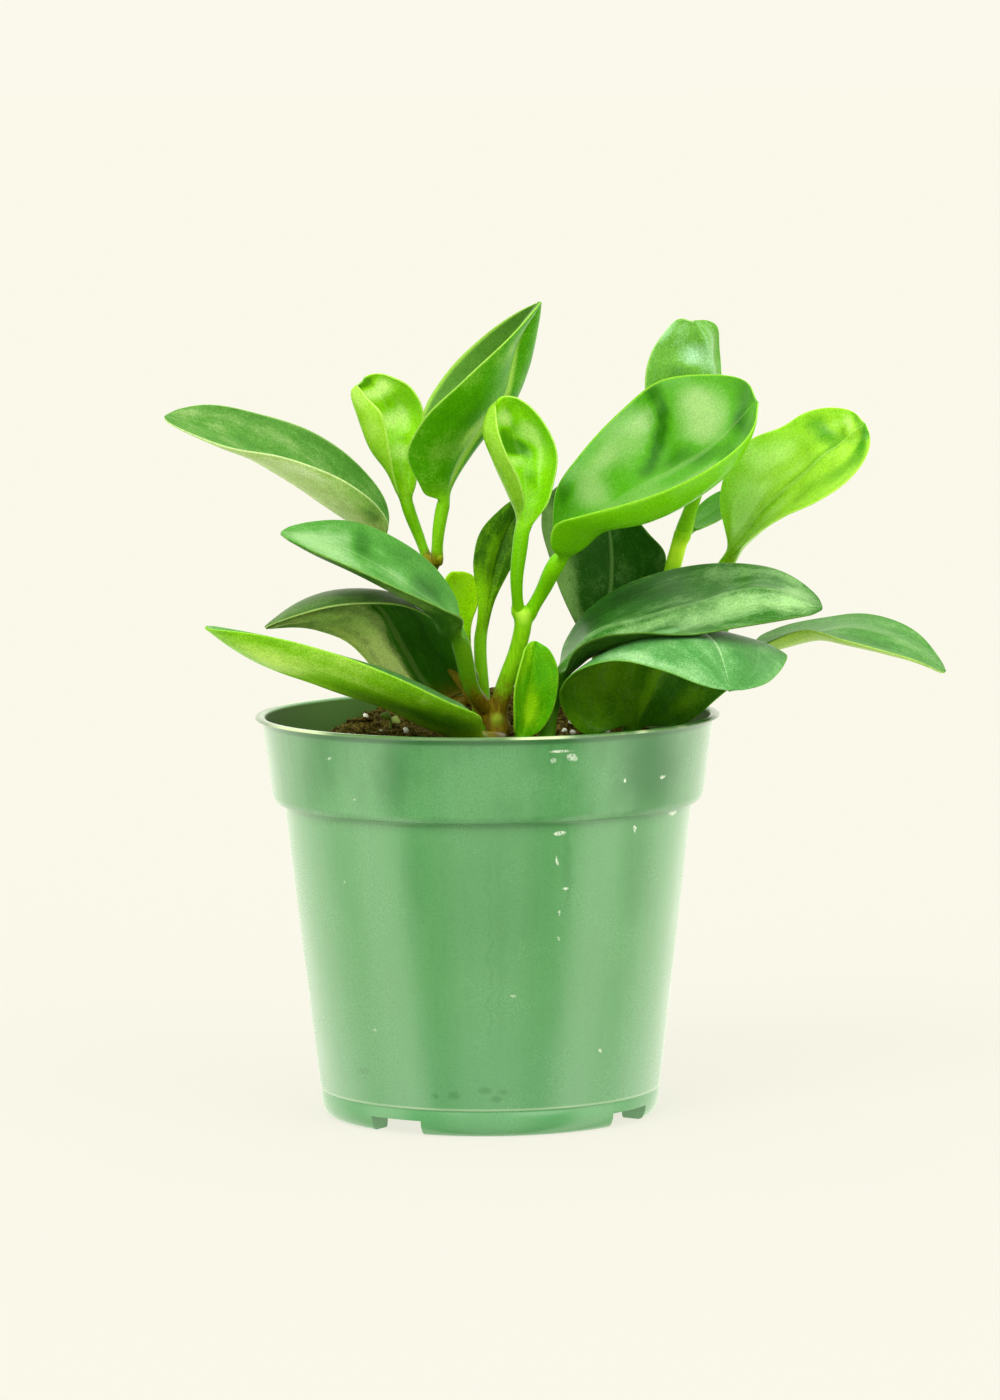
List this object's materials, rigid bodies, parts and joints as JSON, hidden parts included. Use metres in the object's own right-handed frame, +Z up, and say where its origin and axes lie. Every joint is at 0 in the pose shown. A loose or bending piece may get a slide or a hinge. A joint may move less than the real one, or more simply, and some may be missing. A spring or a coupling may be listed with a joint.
{
  "type": "potted baby rubber plant",
  "caption": "Young baby rubber plant with thick glossy cupped leaves on forked stems, rooted in peat soil in a round moulded nursery pot.",
  "frame": {"origin": "middle of the bounding box, on the surface that the pot stands on", "axes": "+Z up along the pot's axis, +X to the right and +Y away as seen from the front"},
  "size_m": [0.1816, 0.1122, 0.1888],
  "materials": {
    "pot_plastic": "satin green moulded plastic",
    "peat": "crumbly dark peat with white perlite",
    "stem_skin": "smooth green, reddish brown near the soil",
    "leaf_mature": "waxy dark green above, pale streaked below",
    "leaf_glossy": "very glossy mid green",
    "leaf_young": "glossy bright yellow green"
  },
  "bodies": {
    "root": {"pot": "pot_plastic", "soil": "peat", "stem_forked": "stem_skin", "stem_right": "stem_skin", "leaf_upper_left": "leaf_mature", "leaf_middle_left": "leaf_mature", "leaf_arched_left": "leaf_mature", "leaf_low_left": "leaf_mature", "leaf_young_left": "leaf_young", "leaf_tall": "leaf_young", "leaf_young_centre": "leaf_young", "leaf_behind_centre": "leaf_mature", "leaf_small_back": "leaf_young", "leaf_large_right": "leaf_glossy", "leaf_top_right": "leaf_mature", "leaf_small_right": "leaf_mature", "leaf_bright_right": "leaf_young", "leaf_dark_centre": "leaf_mature", "leaf_broad_right": "leaf_mature", "leaf_nodding_right": "leaf_mature", "leaf_far_right": "leaf_mature", "leaf_small_front": "leaf_young", "leaf_back_right": "leaf_mature", "leaf_back_left": "leaf_mature"}
  },
  "joints": []
}
